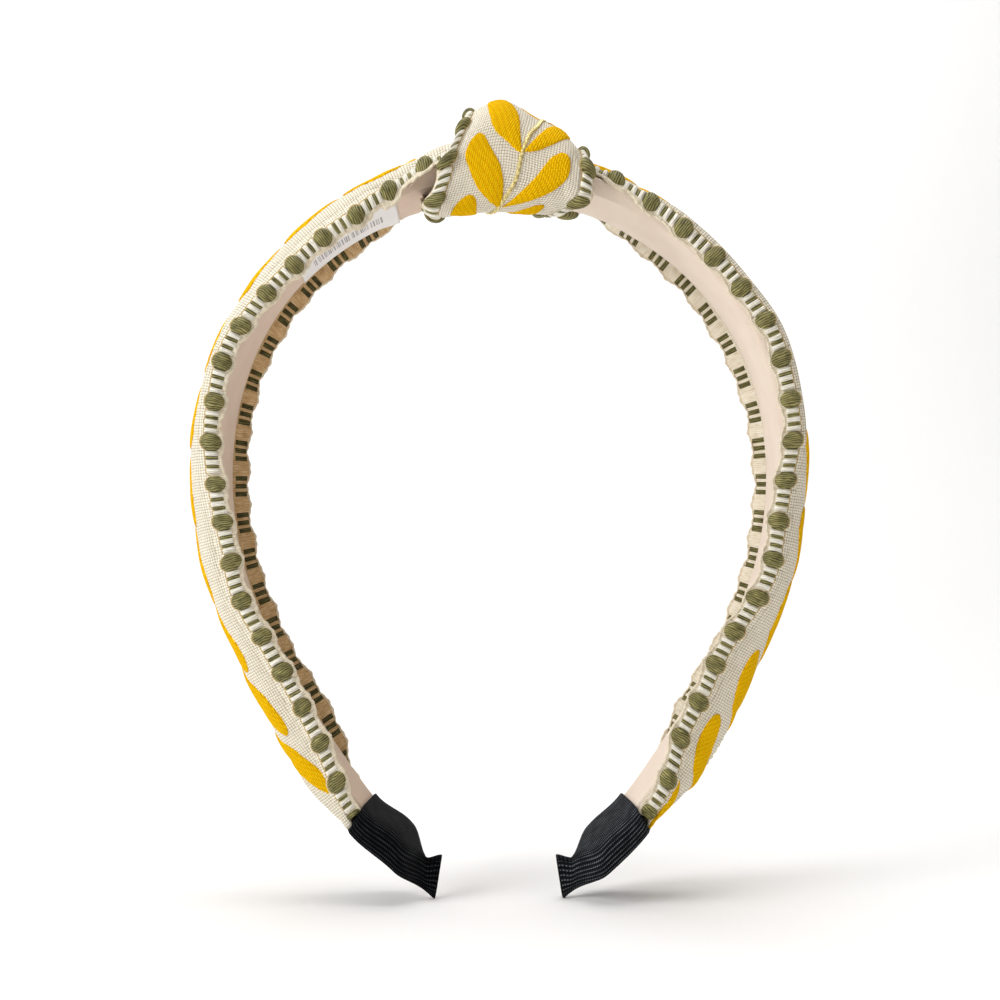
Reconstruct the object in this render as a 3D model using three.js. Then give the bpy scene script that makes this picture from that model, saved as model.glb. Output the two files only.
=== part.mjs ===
// Knotted headband: a padded spring hoop under a jacquard ribbon, with the ribbon knotted over the crown.
// Millimetres. +Z is up as worn, X runs from ear to ear, Y from front (-) to back (+).
// The origin is on the flat underside of the knot, where it rests on the head.
import * as THREE from 'three';

const DEGREE = Math.PI / 180;

// --- Hoop line: the core's inner surface, as tangent arcs from the crown down to each tip.
const CROWN_RADIUS = 63.5;
const CROWN_SWEEP = 90 * DEGREE;
const SIDE_RADIUS = 81;
const SIDE_SWEEP = 25 * DEGREE;
const LOWER_RADIUS = 203;
const LOWER_SWEEP = 17 * DEGREE;
const CROWN_HEIGHT = 3;
const CROWN_WIDTH = 30;
const TIP_WIDTH = 15;
const WIDTH_TAPER = [95, 190];
const TIP_TWIST = 9 * DEGREE;
const TWIST_RUN = [120, 185];

// --- Layers, measured outward from the hoop line.
const CLEARANCE = 0.3;
const FOAM_CLEARANCE = 0.55;
const LINING_THICKNESS = 0.6;
const CORE_THICKNESS = 1.2;
const CLOTH_THICKNESS = 0.8;
const CLOTH_TOP = 5.3;
const CLOTH_TOP_AT_CAP = 4.3;
const LINING_TOP = -CLEARANCE;
const LINING_BOTTOM = LINING_TOP - LINING_THICKNESS;
const FOAM_BOTTOM = CORE_THICKNESS + CLEARANCE;
const CORE_INSET = 1.6;
const LINING_INSET = 1.2;

// --- Lengths along the hoop, from the middle of the crown.
const RIBBON_START = 13;
const GATHER_RUN = [14, 44];
const GATHERED_HALF_WIDTH = 9.8;
const EDGE_DROP_RUN = [46, 54];
const FLEX_LENGTH = 55;
const COVER_END = 183.7;
const CORE_END = 200;
const TIP_ROUNDING_RUN = [190, 200];
const STATION_STEP = 6;

// --- Beaded edge of the ribbon.
const BORDER_DEPTH = 5.5;
const BORDER_THICKNESS = 2.2;
const BORDER_SCALLOP = 0.35;
const FRONT_OVERHANG = 1;
const BACK_OVERHANG = 1.6;
const BEAD_PITCH = 8.8;
const FIRST_BEAD = 15.8;
const FLAT_TILT = 85 * DEGREE;
const TILT_RUN = [20, 42];
const FLAT_FOLD_HEIGHT = 2.4;
const FOLD_DROP_RUN = [24, 46];

// --- Flex of the hoop between crown and arms, as a hinge on the outer surface.
const PIVOT_RADIAL = 5.5;
const CLOSING_ANGLE = 5 * DEGREE;
const SPLIT_GAP = 0.2;

// --- Knot over the crown.
const KNOT_HALF_DEPTH = 19;
const KNOT_LOWER_ROUNDNESS = 0.5;
const KNOT_UPPER_ROUNDNESS = 0.75;
const KNOT_FLAT_SHARE = 0.9;
const WRAP_THICKNESS = 0.6;
const WRAP_UNDER_HOOP = LINING_BOTTOM - 0.25 - WRAP_THICKNESS;
const KNOT_SIDES = 24;
const WRAP_COLUMNS = 7;
const FILLING_LOWER_SHARE = 0.68;
const FILLING_UPPER_SHARE = 0.93;
const FILLING_FLARE_RUN = [0.38, 0.65];
const FILLING_COLUMNS = 6;
const PIPING_WIDTH = 4;
const PIPING_PROUD = 0.4;
const KNOT_ROOF = new THREE.SplineCurve([
  new THREE.Vector2(-20, 15),
  new THREE.Vector2(-8, 21),
  new THREE.Vector2(1, 22.6),
  new THREE.Vector2(10, 18),
  new THREE.Vector2(17, 14),
  new THREE.Vector2(26, 10),
]);

// --- End caps: folded ribbon closed over the tips and pinched flat.
const CAP_START = 184;
const CAP_HALF_WIDTH = 9.2;
const CAP_BOTTOM = -1.5;
const CAP_TOP = 4.6;
const PINCH_HALF_WIDTH = 1.1;
const PINCH_BOTTOM = -5.7;
const PINCH_TOP = 1.7;
const PINCH_INNER_END = 204.1;
const PINCH_OUTER_END = 209.3;
const CAP_RINGS = 7;
const CAP_SIDES = 12;
const CAVITY_END = 201;

// --- Price label stuck on the lining, on the left shoulder.
const LABEL_RUN = [-51, -24];
const LABEL_HALF_WIDTH = 11;
const LABEL_THICKNESS = 0.15;

const CLOTH_SIDES = 10;

const lerp = THREE.MathUtils.lerp;
const smooth = ([from, to], value) => THREE.MathUtils.smoothstep(value, from, to);

// Point of the hoop line at signed length s (negative on the left), with its angle from the top.
function hoopLine(s) {
  const side = s < 0 ? -1 : 1;
  const crownLength = CROWN_RADIUS * CROWN_SWEEP;
  const sideLength = SIDE_RADIUS * SIDE_SWEEP;
  const lowerLength = LOWER_RADIUS * LOWER_SWEEP;
  const onCrown = Math.min(Math.abs(s), crownLength) / CROWN_RADIUS;
  const onSide = THREE.MathUtils.clamp(Math.abs(s) - crownLength, 0, sideLength) / SIDE_RADIUS;
  const onLower = THREE.MathUtils.clamp(Math.abs(s) - crownLength - sideLength, 0, lowerLength) / LOWER_RADIUS;
  const straight = Math.max(0, Math.abs(s) - crownLength - sideLength - lowerLength);
  let angle = 0;
  let x = 0;
  let z = CROWN_HEIGHT;
  for (const [radius, sweep] of [[CROWN_RADIUS, onCrown], [SIDE_RADIUS, onSide], [LOWER_RADIUS, onLower]]) {
    x += radius * (Math.sin(angle + sweep) - Math.sin(angle));
    z += radius * (Math.cos(angle + sweep) - Math.cos(angle));
    angle += sweep;
  }
  x += straight * Math.cos(angle);
  z -= straight * Math.sin(angle);
  return { side, x, z, angle };
}

// A point of the hoop's cross-section: y across the band, r outward, at signed length s.
function place(s, y, r) {
  const { side, x, z, angle } = hoopLine(s);
  const twist = TIP_TWIST * smooth(TWIST_RUN, Math.abs(s));
  const across = y * Math.cos(twist) + r * Math.sin(twist);
  const outward = r * Math.cos(twist) - y * Math.sin(twist);
  return new THREE.Vector3(side * (x + outward * Math.sin(angle)), across, z + outward * Math.cos(angle));
}

const hoopHalfWidth = (s) => lerp(CROWN_WIDTH, TIP_WIDTH, smooth(WIDTH_TAPER, Math.abs(s))) / 2;
const gather = (s) => 1 - smooth(GATHER_RUN, Math.abs(s));
const ribbonHalfWidth = (s) => lerp(hoopHalfWidth(s), GATHERED_HALF_WIDTH, gather(s));
const clothTop = (s) => lerp(CLOTH_TOP, CLOTH_TOP_AT_CAP, smooth([165, 184], Math.abs(s)));

// Where the cloth turns into the beaded edge: low on the arms, level with the hoop line elsewhere.
function foldHeight(s) {
  const length = Math.abs(s);
  const low = -1.8 * smooth([95, 150], length) * (1 - smooth([164, 182], length));
  const lifted = FLAT_FOLD_HEIGHT * (1 - smooth(FOLD_DROP_RUN, length));
  return low + lifted + 1.6 * smooth([170, 184], length);
}

// Closed skin over rings of equal size. Open rows of rings get end caps from the given flat outlines.
function skin(rings, outlines = null) {
  const count = rings[0].length;
  const positions = rings.flat().flatMap((point) => point.toArray());
  const indices = [];
  const rows = outlines ? rings.length - 1 : rings.length;
  for (let row = 0; row < rows; row += 1) {
    const next = (row + 1) % rings.length;
    for (let k = 0; k < count; k += 1) {
      const after = (k + 1) % count;
      const [a, b] = [row * count + k, row * count + after];
      const [c, d] = [next * count + after, next * count + k];
      indices.push(a, b, c, a, c, d);
    }
  }
  if (outlines) {
    indices.push(...capFaces(outlines[0], 0, false));
    indices.push(...capFaces(outlines[1], (rings.length - 1) * count, true));
  }
  const geometry = new THREE.BufferGeometry();
  geometry.setAttribute('position', new THREE.Float32BufferAttribute(positions, 3));
  geometry.setIndex(signedVolume(rings.flat(), indices) < 0 ? indices.reverse() : indices);
  geometry.computeVertexNormals();
  return geometry;
}

// End cap of a ring, wound along the ring or against it so that it closes the side faces.
function capFaces(outline, offset, alongRing) {
  const ringTurn = Math.sign(THREE.ShapeUtils.area(outline));
  return THREE.ShapeUtils.triangulateShape(outline, []).flatMap(([a, b, c]) => {
    const turn = Math.sign(THREE.ShapeUtils.area([outline[a], outline[b], outline[c]]));
    const corners = (turn === ringTurn) === alongRing ? [a, b, c] : [c, b, a];
    return corners.map((corner) => corner + offset);
  });
}

function signedVolume(points, indices) {
  let volume = 0;
  for (let k = 0; k < indices.length; k += 3) {
    const [a, b, c] = [points[indices[k]], points[indices[k + 1]], points[indices[k + 2]]];
    volume += a.dot(b.clone().cross(c)) / 6;
  }
  return volume;
}

// Evenly spaced lengths. A split end leans back with depth, so an arm can close by CLOSING_ANGLE.
function stations(from, to, step, splits = []) {
  const count = Math.max(1, Math.round(Math.abs(to - from) / step));
  const list = [];
  for (let k = 0; k <= count; k += 1) {
    const s = lerp(from, to, k / count);
    const isSplit = splits.some((split) => Math.abs(split - s) < 1e-6);
    const towardMiddle = isSplit ? Math.sign((from + to) / 2 - s) : 0;
    list.push({ s, towardMiddle });
  }
  return list;
}

// A piece of the band: sectionAt(s) gives its outline as (across, outward) points.
function sweep(list, sectionAt) {
  const outlines = list.map(({ s }) => sectionAt(s));
  const rings = outlines.map((outline, k) => outline.map((point) => {
    const { s, towardMiddle } = list[k];
    const lean = SPLIT_GAP + (PIVOT_RADIAL - point.y) * Math.tan(CLOSING_ANGLE / 2 + 0.1 * DEGREE);
    return place(s + towardMiddle * lean, point.x, point.y);
  }));
  return skin(rings, [outlines[0], outlines.at(-1)]);
}

function rectangle(halfWidth, bottom, top) {
  return [
    new THREE.Vector2(-halfWidth, bottom),
    new THREE.Vector2(halfWidth, bottom),
    new THREE.Vector2(halfWidth, top),
    new THREE.Vector2(-halfWidth, top),
  ];
}

// Crowned arch from one edge of the ribbon to the other.
function arch(halfWidth, edge, top, sides = CLOTH_SIDES) {
  const points = [];
  for (let k = 0; k <= sides; k += 1) {
    const angle = Math.PI * k / sides;
    const across = -Math.sign(Math.cos(angle)) * Math.abs(Math.cos(angle)) ** 0.8 * halfWidth;
    points.push(new THREE.Vector2(k * 2 === sides ? 0 : across, lerp(edge, top, Math.sin(angle) ** 0.7)));
  }
  return points;
}

const coreHalfWidth = (s) => (hoopHalfWidth(s) - CORE_INSET) * (1 - 0.5 * smooth(TIP_ROUNDING_RUN, Math.abs(s)));
const coreSection = (s) => rectangle(coreHalfWidth(s), 0, CORE_THICKNESS);
const liningSection = (s) => rectangle(hoopHalfWidth(s) - LINING_INSET, LINING_BOTTOM, LINING_TOP);

const clothEdge = (s) => lerp(FOAM_BOTTOM + 0.1, foldHeight(s) + 0.2, smooth(EDGE_DROP_RUN, Math.abs(s)));

function foamSection(s) {
  const inset = CLOTH_THICKNESS + FOAM_CLEARANCE;
  const outline = arch(ribbonHalfWidth(s) - inset, clothEdge(s), clothTop(s) - inset);
  outline.forEach((point) => { point.y = Math.max(point.y, FOAM_BOTTOM); });
  return outline;
}

function clothSection(s) {
  const halfWidth = ribbonHalfWidth(s);
  const outer = arch(halfWidth, clothEdge(s), clothTop(s));
  const inner = arch(halfWidth - CLOTH_THICKNESS, clothEdge(s), clothTop(s) - CLOTH_THICKNESS);
  return [...outer, ...inner.reverse()];
}

// Beaded edge, hanging inward from the fold and turning flat beside the knot. front is -1, back is +1.
function borderSection(s, face) {
  const tilt = FLAT_TILT * (1 - smooth(TILT_RUN, Math.abs(s)));
  const phase = Math.cos(2 * Math.PI * (Math.abs(s) - FIRST_BEAD) / BEAD_PITCH);
  const overhang = face < 0 ? FRONT_OVERHANG : BACK_OVERHANG;
  const start = lerp(-overhang, 0.1, Math.sin(tilt));
  const end = BORDER_DEPTH - overhang + BORDER_SCALLOP * phase;
  const thickness = BORDER_THICKNESS + BORDER_SCALLOP * phase;
  const fold = new THREE.Vector2(ribbonHalfWidth(s) + CLEARANCE, foldHeight(s));
  const inward = new THREE.Vector2(Math.sin(tilt), -Math.cos(tilt));
  const outward = new THREE.Vector2(Math.cos(tilt), Math.sin(tilt));
  const corners = [[start, 0], [end, 0], [end, 0.6], [(start + end) / 2, 1], [start, 0.6]];
  return corners.map(([along, share]) => {
    const point = fold.clone().addScaledVector(inward, along).addScaledVector(outward, share * thickness);
    point.x *= face;
    return point;
  });
}

// Knot surface at share `across` (-1 left edge, 1 right edge) and `turn` (0 underside, pi/2 front, pi top).
function knotPoint(across, turn, inset, beyondEdge = 0) {
  const rise = (1 - Math.cos(turn)) / 2;
  const left = -13.4 + 7.4 * rise - beyondEdge;
  const right = 10.9 + 6.8 * (1 - (1 - rise) ** 4) + beyondEdge;
  const x = lerp(left, right, (across + 1) / 2);
  const floor = Math.min(0, hoopLine(x).z + WRAP_UNDER_HOOP) + inset;
  const roof = roofHeight(x) - inset;
  const roundness = Math.cos(turn) > 0 ? KNOT_LOWER_ROUNDNESS : KNOT_UPPER_ROUNDNESS;
  const fullness = Math.abs(Math.cos(turn)) ** roundness;
  const sideways = Math.abs(Math.sin(turn)) ** roundness * (KNOT_HALF_DEPTH - inset);
  const vertical = Math.cos(turn) > 0 ? -Math.min(1, fullness / KNOT_FLAT_SHARE) : fullness;
  return new THREE.Vector3(x, -Math.sign(Math.sin(turn)) * sideways, lerp(floor, roof, (1 + vertical) / 2));
}

function roofHeight(x) {
  const points = KNOT_ROOF.points;
  const last = points.length - 1;
  const index = THREE.MathUtils.clamp(points.findIndex((point) => point.x > x), 1, last);
  const share = THREE.MathUtils.clamp((x - points[index - 1].x) / (points[index].x - points[index - 1].x), 0, 1);
  return KNOT_ROOF.getPoint((index - 1 + share) / last).y;
}

const knotTurns = () => Array.from({ length: KNOT_SIDES }, (_, k) => 2 * Math.PI * (k + 0.5) / KNOT_SIDES);

function wrapGeometry() {
  const columns = Array.from({ length: WRAP_COLUMNS + 1 }, (_, k) => lerp(-1, 1, k / WRAP_COLUMNS));
  const rings = knotTurns().map((turn) => [
    ...columns.map((across) => knotPoint(across, turn, 0)),
    ...columns.toReversed().map((across) => knotPoint(across, turn, WRAP_THICKNESS)),
  ]);
  return skin(rings);
}

// Beaded edge of the wrap, a ring standing just outside its left (-1) or right (+1) edge.
function pipingGeometry(side) {
  const inner = CLEARANCE;
  const outer = CLEARANCE + PIPING_WIDTH;
  const middle = (inner + outer) / 2;
  const crest = [[inner, 0], [middle, -PIPING_PROUD], [outer, 0]];
  const corners = [...crest, [outer, WRAP_THICKNESS], [inner, WRAP_THICKNESS]];
  return skin(knotTurns().map((turn) => corners.map(([beyond, inset]) => knotPoint(side, turn, inset, beyond))));
}

// Gathered ribbon packed inside the knot, above the hoop. It reaches the wrap's edges only in its upper half.
function fillingGeometry() {
  const inset = WRAP_THICKNESS + CLEARANCE;
  const rings = [];
  for (let column = 0; column <= FILLING_COLUMNS; column += 1) {
    const across = lerp(-1, 1, column / FILLING_COLUMNS);
    rings.push(knotTurns().map((turn) => {
      const flare = smooth(FILLING_FLARE_RUN, (1 - Math.cos(turn)) / 2);
      const share = lerp(FILLING_LOWER_SHARE, FILLING_UPPER_SHARE, flare);
      const point = knotPoint(across * share, turn, inset);
      point.z = Math.max(point.z, hoopLine(point.x).z + FOAM_BOTTOM);
      return point;
    }));
  }
  const outline = (ring) => ring.map((point) => new THREE.Vector2(point.y, point.z));
  return skin(rings, [outline(rings[0]), outline(rings.at(-1))]);
}

// Rounded outline of a cap or its cavity, with the length of each point set by how far out it lies.
function capRing(side, halfWidth, bottom, top, lengthAt) {
  const ring = [];
  for (let k = 0; k < CAP_SIDES; k += 1) {
    const angle = 2 * Math.PI * (k + 0.5) / CAP_SIDES;
    const y = Math.sign(Math.cos(angle)) * Math.abs(Math.cos(angle)) ** 0.6 * halfWidth;
    const share = (1 + Math.sign(Math.sin(angle)) * Math.abs(Math.sin(angle)) ** 0.6) / 2;
    const r = lerp(bottom, top, share);
    ring.push(place(side * lengthAt(share), y, r));
  }
  return ring;
}

function capGeometry(side) {
  const cavityHalfWidth = (s) => coreHalfWidth(Math.min(s, CORE_END)) + CLEARANCE + 0.4;
  const cavity = [CAVITY_END, TIP_ROUNDING_RUN[0], CAP_START].map((s) => (
    capRing(side, cavityHalfWidth(s), -CLEARANCE - 0.2, CORE_THICKNESS + CLEARANCE + 0.2, () => s)
  ));
  const shell = [];
  for (let row = 0; row < CAP_RINGS; row += 1) {
    const share = row / (CAP_RINGS - 1);
    const closing = smooth([0.35, 1], share);
    const halfWidth = lerp(CAP_HALF_WIDTH, PINCH_HALF_WIDTH, closing);
    const bottom = lerp(CAP_BOTTOM, PINCH_BOTTOM, smooth([0.3, 1], share));
    const end = (outward) => lerp(PINCH_INNER_END, PINCH_OUTER_END, outward);
    const lengthAt = (outward) => lerp(CAP_START, end(outward), share);
    shell.push(capRing(side, halfWidth, bottom, lerp(CAP_TOP, PINCH_TOP, share), lengthAt));
  }
  const circle = Array.from({ length: CAP_SIDES }, (_, k) => {
    const angle = 2 * Math.PI * k / CAP_SIDES;
    return new THREE.Vector2(Math.cos(angle), Math.sin(angle));
  });
  return skin([...cavity, ...shell], [circle, circle]);
}

function labelSection() {
  const top = LINING_BOTTOM - CLEARANCE;
  return rectangle(LABEL_HALF_WIDTH, top - LABEL_THICKNESS, top);
}

const MATERIALS = {
  lining: new THREE.MeshStandardMaterial({ color: 0xeadccd, roughness: 0.85, metalness: 0 }),
  core: new THREE.MeshStandardMaterial({ color: 0xe8e6e0, roughness: 0.5, metalness: 0 }),
  foam: new THREE.MeshStandardMaterial({ color: 0xf3efe2, roughness: 0.95, metalness: 0 }),
  ribbon: new THREE.MeshStandardMaterial({ color: 0xeee6ca, roughness: 0.9, metalness: 0 }),
  border: new THREE.MeshStandardMaterial({ color: 0x7f744c, roughness: 0.8, metalness: 0 }),
  wrap: new THREE.MeshStandardMaterial({ color: 0xf4b400, roughness: 0.8, metalness: 0 }),
  cap: new THREE.MeshStandardMaterial({ color: 0x121416, roughness: 0.7, metalness: 0 }),
  label: new THREE.MeshStandardMaterial({ color: 0xdedcda, roughness: 0.6, metalness: 0 }),
};

function addPiece(group, name, geometry, material) {
  const mesh = new THREE.Mesh(geometry, MATERIALS[material]);
  mesh.name = name;
  group.add(mesh);
}

// The hoop over the head, with both gathered ribbon ends, the knot and the price label.
function crown() {
  const group = new THREE.Group();
  const whole = stations(-FLEX_LENGTH, FLEX_LENGTH, STATION_STEP, [-FLEX_LENGTH, FLEX_LENGTH]);
  addPiece(group, 'lining_crown', sweep(whole, liningSection), 'lining');
  addPiece(group, 'core_crown', sweep(whole, coreSection), 'core');
  for (const [name, side] of [['left', -1], ['right', 1]]) {
    const [start, end] = [side * RIBBON_START, side * FLEX_LENGTH];
    const list = stations(start, end, STATION_STEP, [end]);
    const beads = stations(start, end, BEAD_PITCH / 2, [end]);
    addPiece(group, `foam_crown_${name}`, sweep(list, foamSection), 'foam');
    addPiece(group, `ribbon_crown_${name}`, sweep(list, clothSection), 'ribbon');
    addPiece(group, `border_front_crown_${name}`, sweep(beads, (s) => borderSection(s, -1)), 'border');
    addPiece(group, `border_back_crown_${name}`, sweep(beads, (s) => borderSection(s, 1)), 'border');
    addPiece(group, `knot_border_${name}`, pipingGeometry(side), 'border');
  }
  addPiece(group, 'knot_wrap', wrapGeometry(), 'wrap');
  addPiece(group, 'knot_filling', fillingGeometry(), 'ribbon');
  addPiece(group, 'price_label', sweep(stations(...LABEL_RUN, STATION_STEP), labelSection), 'label');
  return group;
}

// One side of the hoop below the flex line, down to its black end cap.
function arm(name, side) {
  const group = new THREE.Group();
  const [start, end] = [side * FLEX_LENGTH, side * COVER_END];
  const list = stations(start, end, STATION_STEP, [start]);
  const beads = stations(start, end, BEAD_PITCH / 2, [start]);
  const coreList = [...list, ...stations(side * TIP_ROUNDING_RUN[0], side * CORE_END, 5)];
  addPiece(group, `lining_${name}`, sweep(list, liningSection), 'lining');
  addPiece(group, `core_${name}`, sweep(coreList, coreSection), 'core');
  addPiece(group, `foam_${name}`, sweep(list, foamSection), 'foam');
  addPiece(group, `ribbon_${name}`, sweep(list, clothSection), 'ribbon');
  addPiece(group, `border_front_${name}`, sweep(beads, (s) => borderSection(s, -1)), 'border');
  addPiece(group, `border_back_${name}`, sweep(beads, (s) => borderSection(s, 1)), 'border');
  addPiece(group, `end_cap_${name}`, capGeometry(side), 'cap');
  return group;
}

const headband = new THREE.Group();
headband.add(crown(), arm('left', -1), arm('right', 1));

export default headband;
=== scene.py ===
import math

import bpy
import numpy as np
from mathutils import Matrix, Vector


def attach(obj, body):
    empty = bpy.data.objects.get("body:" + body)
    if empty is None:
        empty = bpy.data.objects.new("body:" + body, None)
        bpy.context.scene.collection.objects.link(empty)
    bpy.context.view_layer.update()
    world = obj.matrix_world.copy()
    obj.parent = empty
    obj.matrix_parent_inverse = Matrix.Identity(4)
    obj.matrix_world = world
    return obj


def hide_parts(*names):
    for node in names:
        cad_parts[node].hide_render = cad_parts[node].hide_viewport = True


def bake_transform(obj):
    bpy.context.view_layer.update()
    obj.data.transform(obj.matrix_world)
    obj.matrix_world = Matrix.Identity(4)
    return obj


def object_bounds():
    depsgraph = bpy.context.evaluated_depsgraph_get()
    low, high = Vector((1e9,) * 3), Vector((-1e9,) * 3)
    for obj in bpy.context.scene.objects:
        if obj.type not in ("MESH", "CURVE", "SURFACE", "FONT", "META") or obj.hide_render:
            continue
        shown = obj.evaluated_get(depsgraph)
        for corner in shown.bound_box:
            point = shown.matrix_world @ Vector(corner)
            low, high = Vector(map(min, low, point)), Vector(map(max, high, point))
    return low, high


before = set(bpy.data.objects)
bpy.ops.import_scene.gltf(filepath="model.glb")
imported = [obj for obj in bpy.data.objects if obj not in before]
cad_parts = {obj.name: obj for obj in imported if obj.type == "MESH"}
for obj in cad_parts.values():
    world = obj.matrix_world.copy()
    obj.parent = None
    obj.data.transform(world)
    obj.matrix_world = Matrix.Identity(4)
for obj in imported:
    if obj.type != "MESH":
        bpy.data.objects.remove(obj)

# Looks of the knotted headband. Shapes are worked out in millimetres and written to Blender in metres.
# "length" runs along the hoop from the middle of the crown, "y" across the band, "out" away from the head.

cad_low, cad_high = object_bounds()
MM = 0.001
SIDES = {"left": -1, "right": 1}
FACES = {"front": -1, "back": 1}

# --- Cloth simulation.
SIMULATED_SCALE = 20.0
SIMULATED_FRAMES = 20
SWELL = 0.35

# --- Hoop line: radius and sweep of the tangent arcs on each side, as in the CAD model.
HOOP_ARCS = ((63.5, math.radians(90)), (81.0, math.radians(25)), (203.0, math.radians(17)))
CROWN_HEIGHT = 3.0
CROWN_HALF_WIDTH = 15.0
TIP_HALF_WIDTH = 7.5
TIP_TWIST = math.radians(9)
HOOP_END = 200.0
COVER_END = 186.5
CAP_START = 184.0

# --- Where the band turns from the crown into an arm: its run along the hoop, and its height.
FLEX_RUN = (22.0, 96.0)
FLEX_LEVEL = 5.3

# --- Layers, outward from the hoop line.
LINING_BOTTOM = -0.9
LINING_TOP = -0.3
CORE_TOP = 1.2
CLOTH_THICKNESS = 0.7

# --- Ribbon pattern. The leaves run the same way round: tips down on the left arm and up on the right one.
LEAF_PITCH = 16.0
LEAF_LENGTH = 20.5
LEAF_HALF_WIDTH = 3.15
LEAF_ANGLE = math.radians(38)
LEAF_HEIGHT = 0.5
LEAF_BESIDE_STEM = 0.9
LEAF_SUNK = -0.12
STEM_LIFT = 0.12
FIRST_LEAF_BASE = {"left": 15.1, "right": 31.1}

# --- Threads: the cream weave, and the yellow stitches.
WEAVE_PITCH = 0.6
STITCH_ROW = 0.5
STITCH_LENGTH = 1.5

# --- Beaded edge.
BEAD_PITCH = 8.86
FIRST_BEAD = 15.8
BEAD_LENGTH = 3.9
STRAND_PITCH = 0.5
SHORTEST_FLOAT = 0.25
FLOAT_DOME = (2.2, 0.55)
REVERSE_HALF_WIDTH = 1.4
BAR_SHARES = (1.1, 0.75, 1.1, 0.75, 1.1)
EDGE_BASE = 0.5
EDGE_MIDDLE = 1.5
EDGE_TUCK = -1.5
FLOATS = {
    "bead": {"stations": 31, "puff": 1.85, "half_width": 2.25, "reverse": 0.1},
    "white": {"stations": 7, "puff": 0.85, "half_width": 1.5, "reverse": 0.3},
    "olive": {"stations": 5, "puff": 0.4, "half_width": 1.35, "reverse": 0.1},
}

# --- Height of the fold where the cloth turns into its beaded edge, as (length, height).
FOLD_HEIGHTS = {
    ("left", "front"): (
        (7, 6.0), (14, 4.9), (20, 3.1), (26, 1.6), (34, 0.2), (43, -0.2), (60, 0.2), (74, 1.7), (88, 1.0),
        (105, -0.5), (114, -1.2), (132, -0.3), (149, -1.5), (166, -1.4), (176, 0.8), (186, 2.6)),
    ("right", "front"): (
        (7, 6.6), (14, 5.7), (22, 4.8), (31, 3.9), (40, 3.0), (50, 2.8), (60, 2.8), (71, 3.6), (86, 2.5),
        (95, 1.8), (104, 0.0), (131, -0.2), (140, -1.8), (155, -2.0), (166, -1.1), (175, 1.6), (186, 3.0)),
    ("left", "back"): (
        (7, 5.0), (14, 4.2), (30, 3.2), (45, 2.0), (60, 1.3), (76, 0.8), (90, 0.0), (120, -0.3),
        (143, -0.1), (150, 0.0), (158, -0.4), (166, 0.6), (171, 1.8), (177, 3.8), (186, 4.2)),
    ("right", "back"): (
        (7, 5.0), (14, 4.2), (30, 3.4), (45, 2.4), (60, 1.6), (90, 1.2), (120, 1.6), (135, 1.7),
        (143, 1.8), (150, 1.6), (158, 1.7), (166, 3.0), (172, 4.4), (180, 4.8), (186, 4.2)),
}

# --- Height of the ribbon's crown, as (length, height). It is fuller beside the knot and above the cap.
CLOTH_TOPS = {
    "left": (
        (5, 10.6), (10, 10.4), (14, 9.4), (20, 7.6), (26, 6.6), (38, 5.9), (50, 5.3), (120, 5.3),
        (146, 6.0), (160, 6.7), (168, 7.2), (176, 7.1), (184, 5.7)),
    "right": (
        (5, 9.6), (10, 9.2), (14, 8.6), (20, 8.0), (27, 7.4), (33, 6.5), (42, 5.6), (52, 5.3),
        (120, 5.4), (139, 6.2), (153, 7.0), (161, 7.8), (170, 7.7), (177, 6.8), (184, 4.7)),
}
GATHER_END = {"left": 30, "right": 44}

# --- End caps and label.
RIB_PITCH = 0.74
LABEL_RUN = (24.0, 51.6)
LABEL_HALF_WIDTH = 11.0
BARS_ALONG = (28.0, 47.0)
BARS_ACROSS = (-4.0, 1.0)

# --- Knot.
KNOT_HALF_DEPTH = 19.0
WRAP_HALF_WIDTH = 14.0
KNOT_ROOF = ((-20, 9.0), (-10, 15.6), (-6, 18.5), (-1.5, 20.9), (1.5, 21.3), (4, 20.1), (8, 17.1), (11, 15.8),
             (14, 13.8), (17.5, 9.9), (20, 7.8), (26, 5.5))
KNOT_LEFT = ((0, -13.7), (0.12, -13.5), (0.37, -11.7), (0.5, -10.4), (0.6, -9.0), (0.75, -7.1), (1, -5.6))
KNOT_RIGHT = ((0, 8.5), (0.12, 10.9), (0.22, 14.4), (0.31, 16.0), (0.4, 17.0), (0.5, 17.5), (1, 17.6))
# Leaves in front: distance round the wrap, distance beside the stem, angle, bend, scale, slimness.
KNOT_FRONT_LEAVES = (
    (-14.8, 0.3, -0.60, 0.3, 1.05, 1.0),
    (-14.3, 0.9, 0.61, -0.3, 0.9, 1.0),
    (0.3, 0.4, -0.66, 0.08, 1.05, 0.82),
    (0.6, 0.9, 0.61, -0.3, 0.9, 1.0),
    (13.3, 0.4, -0.76, 0.08, 1.05, 0.85),
    (14.2, 0.4, 0.5, -0.3, 0.78, 1.0),
)
KNOT_BACK_LEAF_BASES = (-27.5, 29.5, 42.5, 55.0)
KNOT_LIP = -8.6
WRAP_THICKNESS = 0.6
WRAP_UNDER_HOOP = LINING_BOTTOM - 0.25 - WRAP_THICKNESS
BACK_LIFT = 2.3

RNG = np.random.default_rng(11)


def mix(a, b, share):
    return a + (b - a) * share


def smooth(start, end, value):
    share = np.clip((np.asarray(value, float) - start) / (end - start), 0, 1)
    return share * share * (3 - 2 * share)


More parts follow.
